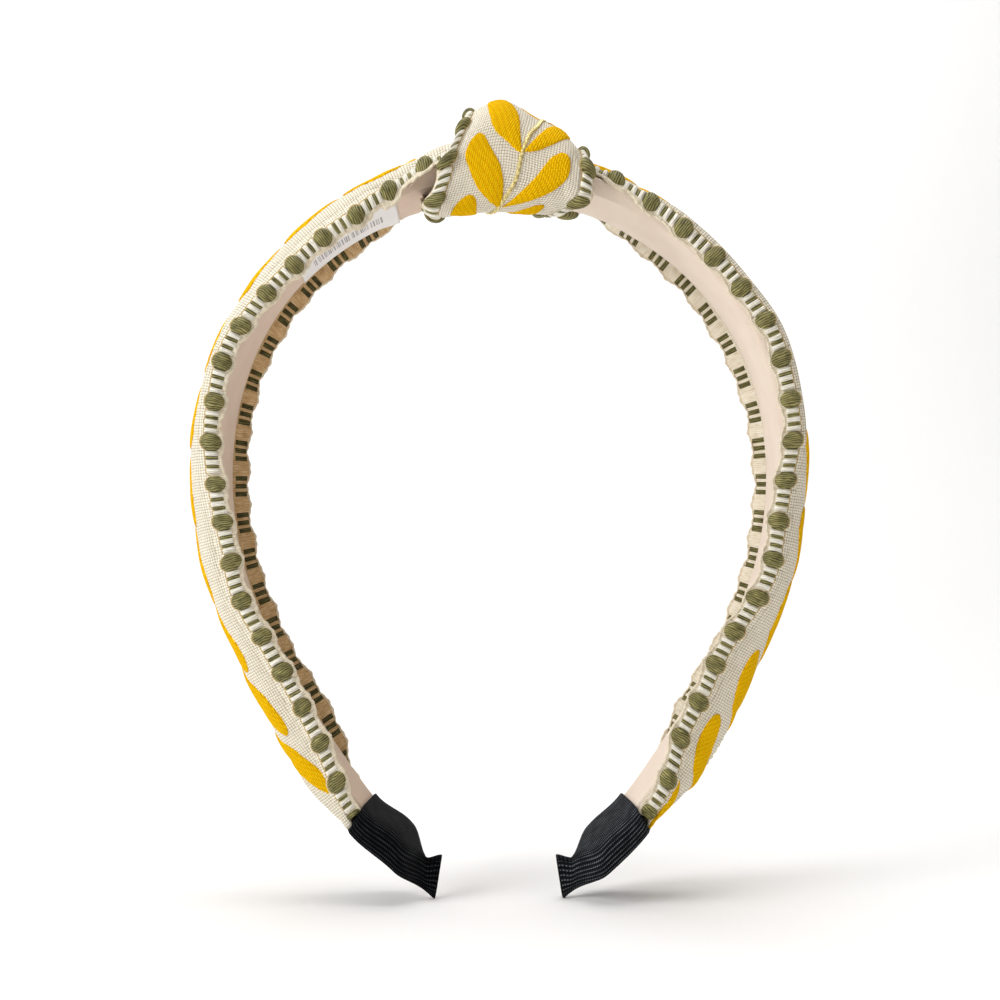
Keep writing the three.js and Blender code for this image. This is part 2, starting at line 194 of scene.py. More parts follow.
def through(points, value):
    """A smooth curve through (place, height) points, level beyond both ends."""
    places, heights = np.array(points, float).T
    slopes = np.gradient(heights, places)
    slopes[[0, -1]] = 0
    value = np.clip(np.asarray(value, float), places[0], places[-1])
    k = np.clip(np.searchsorted(places, value, side="right") - 1, 0, len(places) - 2)
    gap = places[k + 1] - places[k]
    t = (value - places[k]) / gap
    start = heights[k] * (2 * t**3 - 3 * t**2 + 1) + slopes[k] * gap * (t**3 - 2 * t**2 + t)
    return start + heights[k + 1] * (3 * t**2 - 2 * t**3) + slopes[k + 1] * gap * (t**3 - t**2)


def domed(share, flatness, steepness):
    """A dome: 1 in the middle and 0 where the share is -1 or 1."""
    return np.clip(1 - np.abs(share) ** flatness, 0, 1) ** steepness


def signed_power(value, power):
    return np.sign(value) * np.abs(value) ** power


def unit(vectors):
    return vectors / np.maximum(np.linalg.norm(vectors, axis=-1, keepdims=True), 1e-9)


def running(steps):
    """Distance from the first point of a line to each of its points."""
    return np.concatenate([[0], np.cumsum(steps)])


def point_steps(points):
    return np.linalg.norm(np.diff(points, axis=0), axis=1)


def in_threads(along, across):
    """UV of each point: its distance along and across the cloth, in mm."""
    return np.stack(np.broadcast_arrays(along, across), -1)


# ---- hoop geometry

def hoop_line(length):
    """x, z and angle from the top, at a distance along one side of the hoop line."""
    rest = np.array(length, float)
    x, z, angle = np.zeros_like(rest), np.full_like(rest, CROWN_HEIGHT), np.zeros_like(rest)
    for radius, sweep in HOOP_ARCS:
        step = np.clip(rest, 0, radius * sweep) / radius
        x = x + radius * (np.sin(angle + step) - np.sin(angle))
        z = z + radius * (np.cos(angle + step) - np.cos(angle))
        angle = angle + step
        rest = rest - step * radius
    return x + rest * np.cos(angle), z - rest * np.sin(angle), angle


def place(side, length, y, out):
    """Points of the band's cross-section, y across and out from the hoop line."""
    length, y, out = np.broadcast_arrays(*(np.asarray(v, float) for v in (length, y, out)))
    x, z, angle = hoop_line(length)
    twist = TIP_TWIST * smooth(138, 177, length)
    across = y * np.cos(twist) + out * np.sin(twist)
    outward = out * np.cos(twist) - y * np.sin(twist)
    return np.stack([SIDES[side] * (x + outward * np.sin(angle)), across, z + outward * np.cos(angle)], -1)


def hoop_half_width(length):
    return mix(CROWN_HALF_WIDTH, TIP_HALF_WIDTH, smooth(95, 190, length))


def gathered(side, length):
    return 1 - smooth(14, GATHER_END[side], length)


def ribbon_half_width(side, length):
    return mix(hoop_half_width(length), 9.8, gathered(side, length))


def edge_tilt(side, face, length):
    """Angle of the beaded edge from hanging straight inward. It slopes outward beside the knot."""
    if face == "back":
        return np.radians(mix(62, 20, smooth(20, 38, length)) * (1 - smooth(165, 180, length)))
    tilt_run = (16, 30) if side == "left" else (22, 42)
    return math.radians(58) * (1 - smooth(*tilt_run, length))


def fold_point(side, face, length):
    """Where the cloth turns into its beaded edge, as (y, out). The edge always clears the hoop."""
    clear_of_hoop = hoop_half_width(length) + 0.2 - 4.9 * np.sin(edge_tilt(side, face, length))
    y = np.maximum(ribbon_half_width(side, length), clear_of_hoop)
    y = y + 0.3 + 0.2 * np.sin(length * 0.21 + SIDES[side])
    return FACES[face] * y, through(FOLD_HEIGHTS[side, face], length)


class Surface:
    """A grid of points read between its rows and columns, with a lift along its normal."""

    def __init__(self, rows, columns, points, flip=1):
        self.rows, self.columns, self.points = rows, columns, points
        along, across = np.gradient(points, axis=0), np.gradient(points, axis=1)
        self.normals = unit(np.cross(along, across) * flip)

    def at(self, row, column, lift=0.0):
        i = np.interp(row, self.rows, np.arange(len(self.rows)))
        j = np.interp(column, self.columns, np.arange(len(self.columns)))
        i0 = np.minimum(i.astype(int), len(self.rows) - 2)
        j0 = np.minimum(j.astype(int), len(self.columns) - 2)
        di, dj = (i - i0)[..., None], (j - j0)[..., None]

        def read(grid):
            low = mix(grid[i0, j0], grid[i0, j0 + 1], dj)
            return mix(low, mix(grid[i0 + 1, j0], grid[i0 + 1, j0 + 1], dj), di)

        return read(self.points) + read(self.normals) * np.asarray(lift)[..., None]


def blown_out(surface, reach, flip):
    """The surface after a short cloth simulation: pressed outward from below and held along its border.

    The cloth is enlarged while it is simulated, and no point moves further than the reach.
    """
    scene = bpy.context.scene
    grid, faces = numbered_grid(*surface.points.shape[:2])
    enlarged = surface.points * MM * SIMULATED_SCALE
    mesh = bpy.data.meshes.new("blown_out")
    mesh.from_pydata(enlarged.reshape(-1, 3).tolist(), [], faces[:, ::-flip].tolist())
    piece = new_object("blown_out", mesh)
    held = piece.vertex_groups.new(name="held")
    held.add(np.concatenate([grid[0], grid[-1], grid[:, 0], grid[:, -1]]).tolist(), 1.0, "REPLACE")
    cloth = piece.modifiers.new("cloth", "CLOTH")
    cloth.settings.vertex_group_mass = "held"
    cloth.settings.use_pressure = True
    cloth.settings.uniform_pressure_force = 4.0
    cloth.settings.effector_weights.gravity = 0
    cloth.settings.shrink_min = -0.03
    cloth.point_cache.frame_start, cloth.point_cache.frame_end = 1, SIMULATED_FRAMES
    for frame_number in range(1, SIMULATED_FRAMES + 1):
        scene.frame_set(frame_number)
    bpy.context.view_layer.objects.active = piece
    bpy.ops.object.modifier_apply(modifier="cloth")
    settled = np.empty(surface.points.size)
    piece.data.vertices.foreach_get("co", settled)
    move = settled.reshape(surface.points.shape) / MM / SIMULATED_SCALE - surface.points
    distance = np.linalg.norm(move, axis=-1, keepdims=True)
    bpy.data.objects.remove(piece)
    scene.frame_set(1)
    return Surface(surface.rows, surface.columns, surface.points + move * reach / (reach + distance), flip)


# ---- mesh making

def new_object(name, data):
    piece = bpy.data.objects.new(name, data)
    bpy.context.scene.collection.objects.link(piece)
    return piece


def numbered_grid(rows, columns):
    """Point numbers in rows and columns, and the quads between them."""
    grid = np.arange(rows * columns).reshape(rows, columns)
    quads = np.stack([grid[:-1, :-1], grid[:-1, 1:], grid[1:, 1:], grid[1:, :-1]], -1)
    return grid, quads.reshape(-1, 4)


def make_mesh(name, points, uv, faces, materials, face_materials=None):
    """One object from points in mm, a uv in mm for each point, and faces of point numbers."""
    mesh = bpy.data.meshes.new(name)
    mesh.from_pydata((points * MM).tolist(), [], faces)
    layer = mesh.uv_layers.new(name="threads")
    corners = np.empty(len(mesh.loops), np.int64)
    mesh.loops.foreach_get("vertex_index", corners)
    layer.data.foreach_set("uv", uv[corners].astype(np.float32).ravel())
    for material in materials:
        mesh.materials.append(material)
    if face_materials is not None:
        mesh.polygons.foreach_set("material_index", np.asarray(face_materials, np.int32))
    mesh.shade_smooth()
    mesh.validate()
    return new_object(name, mesh)


def signed_volume(points, faces):
    a, b, c = (points[faces[:, k]] for k in (0, 1, 2))
    d = points[faces[:, 3]]
    return np.sum(np.cross(a, b) * c) + np.sum(np.cross(a, c) * d)


def ring_faces(rows, columns, closed_rows=False):
    """Quads between rings of points, and flat strips over the two open ends."""
    ring = np.arange(rows * columns).reshape(rows, columns)
    if closed_rows:
        ring = np.vstack([ring, ring[:1]])
    after = np.roll(ring, -1, axis=1)
    quads = np.stack([ring[:-1], after[:-1], after[1:], ring[1:]], -1).reshape(-1, 4)
    if closed_rows:
        return quads
    half = columns // 2
    k = np.arange(half - 1)
    first, last = ring[0], ring[-1]
    start_cap = np.stack([first[k], first[columns - 1 - k], first[columns - 2 - k], first[k + 1]], -1)
    end_cap = np.stack([last[k], last[k + 1], last[columns - 2 - k], last[columns - 1 - k]], -1)
    return np.vstack([quads, start_cap, end_cap])


def ring_mesh(name, points, uv, materials, face_materials=None, closed_rows=False):
    """A closed body over rings of points (rows, columns, 3)."""
    rows, columns = points.shape[:2]
    faces = ring_faces(rows, columns, closed_rows)
    flat = points.reshape(-1, 3)
    if signed_volume(flat, faces) < 0:
        faces = faces[:, ::-1]
    if face_materials is not None:
        spare = len(faces) - face_materials.size
        face_materials = np.concatenate([face_materials.ravel(), np.zeros(spare, int)])
    return make_mesh(name, flat, uv.reshape(-1, 2), faces.tolist(), materials, face_materials)


def shell_mesh(name, outer, inner, uv, material, closed_rows=False):
    """A closed body whose rings run along an outer sheet and back along its inner face."""
    rings = np.concatenate([outer, inner[:, ::-1]], axis=1)
    uv = np.concatenate([uv, uv[:, ::-1]], axis=1)
    return ring_mesh(name, rings, uv, [material], closed_rows=closed_rows)


def joined(pieces, name):
    """Several pieces as one object of that name."""
    bpy.ops.object.select_all(action="DESELECT")
    for piece in pieces:
        piece.select_set(True)
    bpy.context.view_layer.objects.active = pieces[0]
    bpy.ops.object.join()
    pieces[0].name = name
    return pieces[0]


# ---- materials

class Material:
    """A principled material whose nodes are added one call at a time."""

    def __init__(self, name, roughness, sheen=0.0, metallic=0.0, specular=0.3):
        self.material = bpy.data.materials.new(name)
        self.material.use_nodes = True
        self.tree = self.material.node_tree
        self.shader = self.tree.nodes["Principled BSDF"]
        self.shader.inputs["Roughness"].default_value = roughness
        self.shader.inputs["Metallic"].default_value = metallic
        self.shader.inputs["Specular IOR Level"].default_value = specular
        self.shader.inputs["Sheen Weight"].default_value = sheen
        self.shader.inputs["Sheen Roughness"].default_value = 0.5

    def add(self, kind, inputs=(), output=0, **settings):
        node = self.tree.nodes.new(kind)
        for key, value in settings.items():
            setattr(node, key, value)
        for key, value in dict(inputs).items():
            if isinstance(value, bpy.types.NodeSocket):
                self.tree.links.new(value, node.inputs[key])
            else:
                node.inputs[key].default_value = value
        return node.outputs[output]

    def math(self, operation, a, b=0.0):
        return self.add("ShaderNodeMath", {0: a, 1: b}, operation=operation)

    def times(self, a, b):
        return self.math("MULTIPLY", a, b)

    def power(self, a, b):
        return self.math("POWER", a, b)

    def plus(self, a, b):
        return self.math("ADD", a, b)

    def weighted(self, a, a_weight, b, b_weight):
        return self.plus(self.times(a, a_weight), self.times(b, b_weight))

    def between(self, value, low, high):
        """1 where the value is between the two limits, otherwise 0."""
        return self.times(self.math("GREATER_THAN", value, low), self.math("LESS_THAN", value, high))

    def threads(self):
        """Distance along and across the cloth, in millimetres."""
        uv = self.add("ShaderNodeUVMap", uv_map="threads")
        split = self.tree.nodes.new("ShaderNodeSeparateXYZ")
        self.tree.links.new(uv, split.inputs[0])
        return split.outputs[0], split.outputs[1]

    def noise(self, along, across, along_scale, across_scale, detail=2.0, offset=0.0):
        """Noise between 0 and 1, stretched to its own scale along and across the cloth."""
        x, y = self.times(along, along_scale), self.times(across, across_scale)
        point = self.add("ShaderNodeCombineXYZ", {0: x, 1: y, 2: offset})
        return self.add("ShaderNodeTexNoise", {"Vector": point, "Scale": 1.0, "Detail": detail})

    def wave(self, distance, pitch):
        return self.math("SINE", self.times(distance, math.pi / pitch))

    def ridge(self, distance, pitch):
        """Rounded ridges from 0 to 1, one for each pitch."""
        return self.math("ABSOLUTE", self.wave(distance, pitch))

    def ramp(self, value, *stops):
        node = self.tree.nodes.new("ShaderNodeValToRGB")
        self.tree.links.new(value, node.inputs[0])
        elements = node.color_ramp.elements
        while len(elements) < len(stops):
            elements.new(0.5)
        for element, (position, colour) in zip(elements, stops):
            element.position = position
            element.color = (*colour, 1)
        return node.outputs[0]

    def finish(self, colour, height=None, depth=0.1):
        self.tree.links.new(colour, self.shader.inputs["Base Color"])
        if height is not None:
            bump = self.add("ShaderNodeBump", {"Height": height, "Distance": depth * MM, "Strength": 1.0})
            self.tree.links.new(bump, self.shader.inputs["Normal"])
        return self.material


def srgb(display):
    """Linear colour from 8-bit display values."""
    shares = [value / 255 for value in display]
    return tuple(v / 12.92 if v <= 0.04 else ((v + 0.055) / 1.055) ** 2.4 for v in shares)


def shades(places, colours):
    """Stops for a colour ramp, from 8-bit colours."""
    return zip(places, map(srgb, colours))


def ground_material():
    """Cream cotton in a plain weave with small open gaps."""
    m = Material("cream_weave", 0.85, sheen=0.05)
    along, across = m.threads()
    wobble = m.times(m.noise(along, across, 0.7, 0.7, 1.0), 0.25)
    a, b = m.plus(along, wobble), m.plus(across, wobble)
    over = m.times(m.wave(a, WEAVE_PITCH), m.wave(b, WEAVE_PITCH))
    warp_on_top = m.math("GREATER_THAN", over, 0.0)
    ridge_a, ridge_b = m.ridge(a, WEAVE_PITCH), m.ridge(b, WEAVE_PITCH)
    weft = m.times(m.power(ridge_a, 0.7), m.power(ridge_b, 0.25))
    warp = m.times(m.power(ridge_b, 0.7), m.power(ridge_a, 0.25))
    top = m.add("ShaderNodeMix", {0: warp_on_top, 2: weft, 3: warp})
    slub = m.noise(along, across, 0.5, 3.0, 2.0)
    shade = m.weighted(top, 0.75, slub, 0.35)
    tones = shades((0.25, 0.5, 0.85), ((156, 138, 106), (224, 213, 190), (246, 240, 224)))
    return m.finish(m.ramp(shade, *tones), shade, 0.2)


def satin_stitch_material(name, *colours):
    """Short floats of floss that run along the ribbon, staggered from row to row."""
    m = Material(name, 0.75, specular=0.02)
    along, across = m.threads()
    row = m.math("FLOOR", m.math("DIVIDE", across, STITCH_ROW))
    stagger = m.times(m.math("FRACT", m.times(row, 0.37)), STITCH_LENGTH)
    rows = m.ridge(across, STITCH_ROW)
    ends = m.power(m.ridge(m.plus(along, stagger), STITCH_LENGTH), 0.35)
    strand = m.noise(along, across, 1.3, 9.0, 3.0)
    shade = m.weighted(m.times(m.power(rows, 0.5), ends), 0.6, strand, 0.55)
    return m.finish(m.ramp(shade, *shades((0.2, 0.55, 0.95), colours)), shade, 0.4)


def floss_material(name, *colours, roughness=0.55, strand_share=0.3):
    """Loose floss laid across the edge, with fine strands."""
    m = Material(name, roughness, specular=0.3)
    along, across = m.threads()
    drifting = m.plus(along, m.times(m.noise(along, across, 0.6, 0.5, 1.0), 0.8))
    strands = m.ridge(drifting, 0.48)
    broken = m.noise(drifting, across, 3.0, 0.5, 3.0)
    patch = m.noise(along, across, 0.9, 0.5, 2.0, 7.0)
    shade = m.weighted(strands, strand_share, broken, 0.7 - strand_share)
    shade = m.plus(shade, m.times(patch, 0.34))
    return m.finish(m.ramp(shade, *shades((0.34, 0.56, 0.78), colours)), shade, 0.28)


def lining_material(name, *colours):
    """Pale pink brushed satin with a fine cross grain."""
    m = Material(name, 0.85, sheen=0.1, specular=0.15)
    along, across = m.threads()
    grain = m.noise(along, across, 5.0, 1.5, 3.0)
    cloud = m.noise(along, across, 0.12, 0.12, 2.0, 3.0)
    shade = m.weighted(grain, 0.5, cloud, 0.5)
    return m.finish(m.ramp(shade, *shades((0.3, 0.7), colours)), grain, 0.05)


def grosgrain_material(name, *colours):
    """Black grosgrain: ribs whose crests carry painted highlights, broken into dots by the cross threads."""
    m = Material(name, 0.7, specular=0.05)
    along, across = m.threads()
    crests = m.power(m.ridge(across, RIB_PITCH), 5.0)
    fluff = m.noise(along, across, 2.5, 5.0, 3.0)
    # Painted highlights on the rib crests, broken into dots.
    highlight_dots = m.times(m.times(crests, m.ridge(along, 0.5)), m.noise(along, across, 0.3, 0.5, 2.0))
    shade = m.weighted(highlight_dots, 1.1, fluff, 0.35)
    return m.finish(m.ramp(shade, *shades((0.1, 0.35, 0.8), colours)), shade, 0.12)


def label_material():
    """Plain white paper with faint grey bars, and no text."""
    m = Material("label_paper", 0.55)
    along, across = m.threads()
    bars = m.math("GREATER_THAN", m.noise(along, across, 2.6, 0.0, 1.0), 0.5)
    ink = m.times(m.times(bars, m.between(across, *BARS_ACROSS)), m.between(along, *BARS_ALONG))
    colour = m.ramp(ink, *shades((0.0, 1.0), ((226, 222, 220), (150, 145, 146))))
    return m.finish(colour, m.noise(along, across, 3.0, 3.0, 3.0), 0.03)


def mottled_material(name, roughness, scales, places, colours, depth, **look):
    """One noise, with its scales along and across and its detail, gives both the colour and the bumps."""
    m = Material(name, roughness, **look)
    cloud = m.noise(*m.threads(), *scales)
    return m.finish(m.ramp(cloud, *shades(places, colours)), cloud, depth)


GROUND = ground_material()
LEAF = satin_stitch_material("yellow_leaf", (196, 126, 4), (250, 186, 4), (255, 214, 20))
OLIVE = floss_material("olive_floss", (44, 42, 18), (108, 102, 56), (176, 168, 108))
UNDERSIDE = floss_material("olive_underside", (44, 42, 22), (96, 92, 52), (150, 144, 92), roughness=0.8)
# A darker copy of the underside floats, used on the left arm's back edge: painted shade.
DARK_UNDERSIDE = floss_material("shaded_underside", (20, 19, 9), (66, 63, 33), (120, 116, 66), roughness=0.8)
WHITE = floss_material("white_floss", (206, 199, 178), (236, 231, 216), (252, 250, 242))
LIP = floss_material("cream_lip", (196, 178, 148), (228, 216, 192), (243, 236, 219), strand_share=0.05)
REVERSE = floss_material("reverse_floats", (214, 200, 172), (242, 234, 214), (252, 248, 238),
                         roughness=0.8, strand_share=0.15)
# A tan copy of the reverse floats, used on the left arm's back edge: painted warm shade.
SHADED_REVERSE = floss_material("shaded_reverse_floats", (158, 124, 82), (206, 174, 128), (232, 208, 170),
                             roughness=0.8, strand_share=0.15)
# A tan line where the cloth turns into its beaded edge: painted shade in the gap between them.
JOINT_SHADE = floss_material("painted_joint_shade", (150, 122, 66), (188, 160, 100), (214, 192, 138))
# The gold thread's palest tone stands in for glints: painted highlights, scattered by the noise.
STEM = mottled_material("gold_thread", 0.38, (3.5, 3.5, 3.0), (0.35, 0.5, 0.65),
                        ((160, 134, 66), (226, 206, 128), (252, 246, 204)), 0.12, metallic=0.55, specular=0.5)
PLASTIC = mottled_material("hoop_plastic", 0.45, (0.2, 0.6, 3.0), (0.3, 0.7),
                           ((222, 219, 211), (240, 238, 232)), 0.03)
FOAM = mottled_material("padding_foam", 0.9, (2.5, 2.5, 4.0), (0.3, 0.7),
                        ((226, 221, 205), (246, 243, 233)), 0.15)
# The left lining is a darker, warmer copy of the right one: painted shade inside the left arm.
LINING = {
    "left": lining_material("shaded_lining", (204, 181, 161), (216, 194, 175)),
    "right": lining_material("pale_lining", (220, 202, 186), (231, 216, 200)),
}
# The right cap's grosgrain is a lighter copy of the left one: painted light and sheen on its lit inner face.
GROSGRAIN = {
    "left": grosgrain_material("black_grosgrain", (2, 3, 4), (7, 8, 10), (60, 64, 70)),
    "right": grosgrain_material("lit_grosgrain", (10, 11, 13), (26, 28, 31), (112, 116, 122)),
}
PAPER = label_material()


# ---- baking and bookkeeping

def flexes(piece, side, slot, *nodes):
    """Bakes the piece's placement into its mesh, and hides the named parts of the model."""
    start, end = (place(side, length, 0, FLEX_LEVEL) * MM for length in FLEX_RUN)
    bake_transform(piece)
    if nodes:
        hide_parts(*nodes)
    return piece


def rides(piece, body, slot, *nodes):
    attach(piece, body)
    if nodes:
        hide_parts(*nodes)
    return piece


# ---- hoop, padding and lining

def strip(name, side, lengths, section, material):
    """A band along one side: section(length) gives its outline as (y, out) columns."""
    outlines = [section(length) for length in lengths]
    rings = np.stack([place(side, length, o[:, 0], o[:, 1]) for length, o in zip(lengths, outlines)])
    uv = np.stack([in_threads(length, o[:, 0]) for length, o in zip(lengths, outlines)])
    return ring_mesh(name, rings, uv, [material])


def flat_section(half_width, bottom, top, columns=13):
    """Thin flat outline with softened edges."""
    y = np.linspace(-1, 1, columns)
    rounded = 1 - 0.5 * np.abs(y) ** 12
    middle, half = (bottom + top) / 2, (top - bottom) / 2
    lower = np.column_stack([y * half_width, middle - half * rounded])
    upper = np.column_stack([y[::-1] * half_width, middle + half * rounded])
    return np.vstack([lower, upper])


def core_half_width(length):
    """The strip is narrower than the hoop by a margin, and rounded off at its tip."""
    margin = mix(3.0, 1.6, smooth(24, 46, length))
    return (hoop_half_width(length) - margin) * (1 - 0.5 * smooth(190, HOOP_END, length))


def back_lift(length, y):
    """Height added to the back half of the hoop near the crown."""
    return BACK_LIFT * (1 - smooth(45, 100, length)) * np.clip(y / CROWN_HALF_WIDTH, 0, 1) ** 1.5


def lean_across(side, length, y):
    """Height added across the hoop where its back edge leans outward, on the right side."""
    lean = 0.06 * smooth(45, 85, length) * (1 - smooth(120, 150, length)) if side == "right" else 0.0
    return lean * y + back_lift(length, y)


def make_hoop_strip(side):
    def section(length):
        outline = flat_section(core_half_width(length), 0, CORE_TOP)
        outline[:, 1] += lean_across(side, length, outline[:, 0])
        return outline

    piece = strip(f"hoop_strip_{side}", side, np.arange(0, HOOP_END + 0.1, 2.0), section, PLASTIC)
    flexes(piece, side, "hoop_plastic", f"core_{side}", "core_crown")


def sloping_edge(side, face, length):
    """The beaded edge where it slopes over the hoop's edge: its fold's distance across, height and slope."""
    y, out = fold_point(side, face, length)
    return abs(y), out, 1 / np.tan(np.maximum(edge_tilt(side, face, length), math.radians(20)))


def make_lining(side):
    """Felt glued inside the hoop, turned up round the hoop's edges, with a slight ripple there."""
    def section(length):
        half_width = hoop_half_width(length) - 0.9 * smooth(24, 40, length) - 0.5 * smooth(160, 182, length)
        outline = flat_section(half_width, LINING_BOTTOM, LINING_TOP, 41)
        share = np.abs(outline[:, 0]) / half_width
        ripple = 0.06 * np.sin(length * 0.9 + outline[:, 0])
        turned_up = 1.7 + ripple - 0.5 * smooth(75, 105, length)
        turned_up = turned_up + 2.6 * (1 - smooth(12, GATHER_END[side], length))
        turned_up = np.maximum(turned_up - back_lift(length, outline[:, 0]), 0.3)
        outline[:, 1] += turned_up * smooth(0.9, 1.0, share) + lean_across(side, length, outline[:, 0])
        thickness = np.repeat([0.4, 0.0], len(outline) // 2)
        for face, way in FACES.items():
            fold_y, fold_out, slope = sloping_edge(side, face, length)
            level = LINING_TOP + lean_across(side, length, way * half_width) + 0.5
            reach = fold_y + (fold_out - level) / slope
            beside = outline[:, 0] * way > 0
            outline[beside, 0] *= min(1.0, reach / half_width)
            past_fold = np.maximum(outline[:, 0] * way - fold_y, 0)
            limit = np.where(past_fold > 0, fold_out - past_fold * slope - 0.15 - thickness, 99.0)
            outline[:, 1] = np.minimum(outline[:, 1], limit)
        return outline

    piece = strip(f"lining_{side}", side, np.arange(0, 186.1, 1.0), section, LINING[side])
    flexes(piece, side, "lining_felt", f"lining_{side}", "lining_crown")


def arch(half_width, edge, top, columns):
    """Crowned outline from the front edge to the back one, with points evenly spaced along it."""
    turn = np.linspace(0, np.pi, 121)
    y = -signed_power(np.cos(turn), 0.8) * half_width
    front, back = edge
    rise = np.sin(turn) ** 0.7
    out = mix(mix(front, back, (y / half_width + 1) / 2), top, rise)
    run = running(np.hypot(np.diff(y), np.diff(out)))
    even = np.linspace(0, run[-1], columns)
    return np.interp(even, run, y), np.interp(even, run, out), run[-1]


def cloth_edges(side, length):
    """Heights of the cloth's front and back edge: on the fold, but above the hoop where it is gathered."""
    above_hoop = 1.7
    dropped = smooth(GATHER_END[side] - 4, GATHER_END[side] + 8, length)
    return [mix(above_hoop, fold_point(side, face, length)[1] + 0.2, dropped) for face in ("front", "back")]


def cloth_surface(side, columns=57, step=0.8):
    """Outer face of the ribbon on one side, from inside the knot to inside the cap."""
    lengths = np.arange(5.0, COVER_END + 0.1, step)
    shares = np.linspace(-1, 1, columns)
    points, half_arcs = [], []
    for length in lengths:
        top = through(CLOTH_TOPS[side], length) - SWELL
        y, out, run = arch(ribbon_half_width(side, length), cloth_edges(side, length), top, columns)
        pleats = 0.5 * gathered(side, length) ** 1.5 * np.cos(6.5 * np.pi * shares + 0.7 * SIDES[side])
        uneven = 0.1 * np.sin(0.23 * length + 3 * shares) + 0.07 * np.sin(0.51 * length - 5 * shares)
        out = out + (pleats + uneven) * (1 - np.abs(shares) ** 6)
        points.append(place(side, length, y, out))
        half_arcs.append(run / 2)
    surface = blown_out(Surface(lengths, shares, np.array(points), flip=SIDES[side]), SWELL, SIDES[side])
    surface.half_arc = np.array(half_arcs)
    return surface


def make_padding(side, surface):
    """Foam between the hoop and the ribbon, following the cloth from underneath."""
    lengths = np.arange(8.0, 184.1, 2.0)
    shares = np.linspace(-0.93, 0.93, 25)
    grid_length, grid_share = np.meshgrid(lengths, shares, indexing="ij")
    outer = surface.at(grid_length, grid_share, -CLOTH_THICKNESS - 0.2)
    half_width = np.minimum(ribbon_half_width(side, lengths), core_half_width(lengths)) - 0.3
    y = np.linspace(-1, 1, 25) * half_width[:, None]
    inner = place(side, grid_length, y, CORE_TOP + 0.15 + back_lift(grid_length, y))
    top = np.maximum(0, 0.2 - radial_height(side, grid_length, outer, CORE_TOP))
    outer = outer + outward(side, grid_length) * top[..., None]
    uv = in_threads(grid_length, grid_share * CROWN_HALF_WIDTH)
    piece = shell_mesh(f"padding_{side}", outer, inner, uv, FOAM)
    flexes(piece, side, "padding", f"foam_{side}", f"foam_crown_{side}")


def outward(side, length):
    """Unit vectors away from the head."""
    angle = hoop_line(length)[2]
    return np.stack([SIDES[side] * np.sin(angle), np.zeros_like(angle), np.cos(angle)], -1)


def radial_height(side, length, points, level):
    """Height of points above a layer of the hoop."""
    return np.sum((points - place(side, length, 0, level)) * outward(side, length), axis=-1)


# ---- ribbon

def make_ribbon(side, surface):
    lengths, shares = surface.rows, surface.columns
    inner = surface.points - surface.normals * CLOTH_THICKNESS
    uv = in_threads(lengths[:, None], shares * surface.half_arc[:, None])
    piece = shell_mesh(f"ribbon_{side}", surface.points, inner, uv, GROUND)
    flexes(piece, side, "ribbon_cloth", f"ribbon_{side}", f"ribbon_crown_{side}")


def leaf_outline(u):
    """Half-width of a leaf from its pointed base (u 0) to its rounded tip (u 1)."""
    opening = np.sin(np.pi / 2 * np.minimum(u / 0.58, 1)) ** 0.95
    closing = (1 - np.clip((u - 0.58) / 0.42, 0, 1) ** 2.4) ** 0.5
    return LEAF_HALF_WIDTH * opening * closing


def leaf_grid(rows=40, columns=17):
    """Leaf-local distance along and across, with the height of its padded stitching."""
    u = (1 - np.cos(np.linspace(0, np.pi, rows))) / 2
    v = np.sin(np.linspace(-np.pi / 2, np.pi / 2, columns))
    along = np.broadcast_to((u * LEAF_LENGTH)[:, None], (rows, columns))
    across = leaf_outline(u)[:, None] * v
    height = LEAF_HEIGHT * domed(v, 2, 0.3)
    return along, across, height * np.clip(np.sin(np.pi * u), 0, 1)[:, None] ** 0.25


def leaf_mesh(surface, to_grid, base, angle, bend=0.0, scale=1.0, slimness=1.0):
    """One raised leaf. to_grid turns ribbon distances (along, across) into the surface's row and column."""
    along, across, height = leaf_grid()
    across = across * slimness
    turn = angle + bend * (along / LEAF_LENGTH - 0.5)
    x = scale * (along * np.cos(turn) - across * np.sin(turn)) + base[0]
    y = scale * (along * np.sin(turn) + across * np.cos(turn)) + base[1]
    ragged = 0.16 * np.sin(y * 16.5) * np.sin(y * 3.1 + angle)
    row, column = to_grid(x + ragged, y)
    outer = surface.at(row, column, height + 0.02)
    inner = surface.at(row, column, LEAF_SUNK)
    return shell_mesh("leaf", outer, inner, in_threads(x, y), LEAF)


def make_leaves(side, surface):
    """Pairs of leaves all along one side."""
    def to_grid(along, across):
        half_arc = np.interp(along, surface.rows, surface.half_arc)
        reach = mix(1.1 if side == "right" else 1.05, 0.9, smooth(90, 130, along))
        return along, np.clip(reach * across / half_arc, -0.97, 0.97)

    leaves = []
    for start in np.arange(FIRST_LEAF_BASE[side], COVER_END + 12, LEAF_PITCH):
        for flank in (-1, 1):
            turn = flank * (LEAF_ANGLE + RNG.normal(0, 0.04))
            heading = turn if side == "left" else math.pi - turn
            bend = -0.35 * flank if side == "left" else 0.35 * flank
            base = (start + RNG.normal(0, 0.25), flank * LEAF_BESIDE_STEM)
            if side == "left" and start > 172:
                continue
            leaves.append(leaf_mesh(surface, to_grid, base, heading, bend, slimness=0.8))
    piece = joined(leaves, f"leaves_{side}")
    flexes(piece, side, "leaf_cloth")


